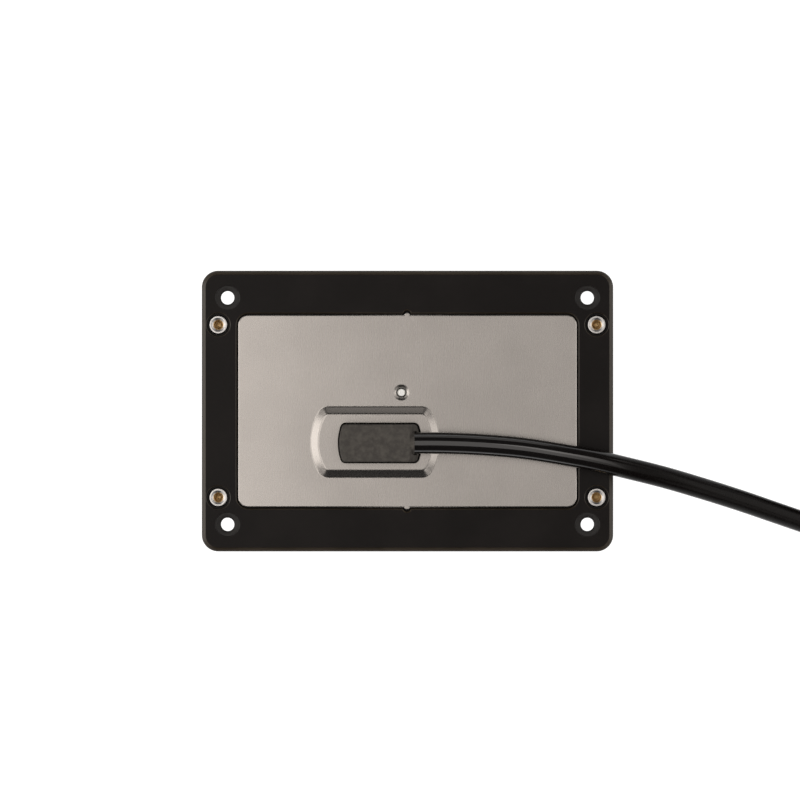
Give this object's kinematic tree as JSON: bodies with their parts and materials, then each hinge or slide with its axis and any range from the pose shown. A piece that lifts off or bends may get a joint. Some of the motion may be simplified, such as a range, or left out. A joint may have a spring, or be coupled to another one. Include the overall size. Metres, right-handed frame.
{
  "type": "security tag detacher",
  "caption": "Counter-mounted powered security tag detacher: flanged housing, inset base plate with a rubber cable entry, tag nest with a curved swinging probe, and a coiled lead with a plug.",
  "frame": {"origin": "centre of the flange outline, on the plane that the nest face rests on", "axes": "+Z out of the underside (the base plate's side), +X along the long side towards the lead, +Y across; the object lies on its nest face"},
  "size_m": [0.3202, 0.1126, 0.0526],
  "materials": {
    "black_plastic": "satin",
    "grey_plastic": "matte",
    "white_plastic": "matte",
    "rubber": "matte",
    "cord_sheath": "gloss",
    "plate_steel": "brushed",
    "steel": "satin",
    "zinc": "plated",
    "brass": "machined",
    "bronze": "sintered",
    "acetal": "satin",
    "board": "satin",
    "lens": "clear"
  },
  "bodies": {
    "housing": {"housing_shell": "black_plastic", "base_plate": "plate_steel", "ground_stud": "zinc", "ground_nut": "zinc", "threaded_insert_1": "brass", "threaded_insert_2": "brass", "threaded_insert_3": "brass", "threaded_insert_4": "brass", "nest_insert": "steel", "nest_screw_1": "zinc", "nest_screw_2": "zinc", "light_pipe": "lens", "chassis_plate_front": "zinc", "chassis_plate_rear": "zinc", "chassis_spacer_1": "steel", "chassis_spacer_2": "steel", "chassis_screw_1": "zinc", "chassis_screw_2": "zinc", "chassis_screw_3": "zinc", "chassis_screw_4": "zinc", "probe_bushing_1": "bronze", "probe_bushing_2": "bronze", "idler_bushing_1": "bronze", "idler_bushing_2": "bronze", "motor_can": "zinc", "motor_end_cap": "black_plastic", "motor_terminal_1": "brass", "motor_terminal_2": "brass", "motor_screw_1": "zinc", "motor_screw_2": "zinc", "circuit_board": "board", "board_screw_1": "zinc", "board_screw_2": "zinc", "board_header": "white_plastic", "motor_driver_chip": "black_plastic", "status_led": "lens", "switch_bracket": "zinc", "tag_switch_body": "black_plastic", "plunger_spring": "steel", "strain_relief": "rubber", "inner_harness": "cord_sheath", "lead_cord": "cord_sheath", "lead_coil": "cord_sheath", "lead_tail": "cord_sheath", "plug_overmould": "black_plastic", "plug_shell": "zinc", "plug_core": "grey_plastic", "plug_pin_1": "brass", "plug_pin_2": "brass"},
    "probe": {"probe_hub": "steel", "probe_wire": "steel", "probe_gear": "acetal", "probe_shaft": "steel"},
    "idler": {"idler_gear": "acetal", "idler_shaft": "steel"},
    "rotor": {"motor_pinion": "brass", "motor_shaft": "steel"},
    "plunger": {"tag_plunger": "acetal"},
    "lever": {"switch_lever": "steel"}
  },
  "joints": [
    {"name": "probe_swing", "type": "hinge", "parent": "housing", "child": "probe", "pos_m": [-0.004, 0, 0.018], "axis": [0, -1, 0], "range_deg": [0, 95]},
    {"name": "idler_spin", "type": "hinge", "parent": "housing", "child": "idler", "pos_m": [0.01339, 0, 0.02266], "axis": [0, -1, 0], "range_deg": [-191, 1]},
    {"name": "rotor_spin", "type": "hinge", "parent": "housing", "child": "rotor", "pos_m": [0.03308, 0, 0.02613], "axis": [0, -1, 0], "range_deg": [-1, 571]},
    {"name": "plunger_press", "type": "slide", "parent": "housing", "child": "plunger", "axis": [0, 0, 1], "range_m": [0, 0.0025], "stiffness_N_per_m": 150, "springref_m": -0.002, "deforming": ["plunger_spring"]},
    {"name": "lever_tilt", "type": "hinge", "parent": "housing", "child": "lever", "pos_m": [-0.02665, -0.0056, 0.022], "axis": [1, 0, 0], "range_deg": [0, 21]}
  ],
  "couplings": [
    {"joint": "idler_spin", "follows": "probe_swing", "ratio": -2},
    {"joint": "rotor_spin", "follows": "probe_swing", "ratio": 6},
    {"joint": "lever_tilt", "follows": "plunger_press", "rad_per_m": 142}
  ]
}
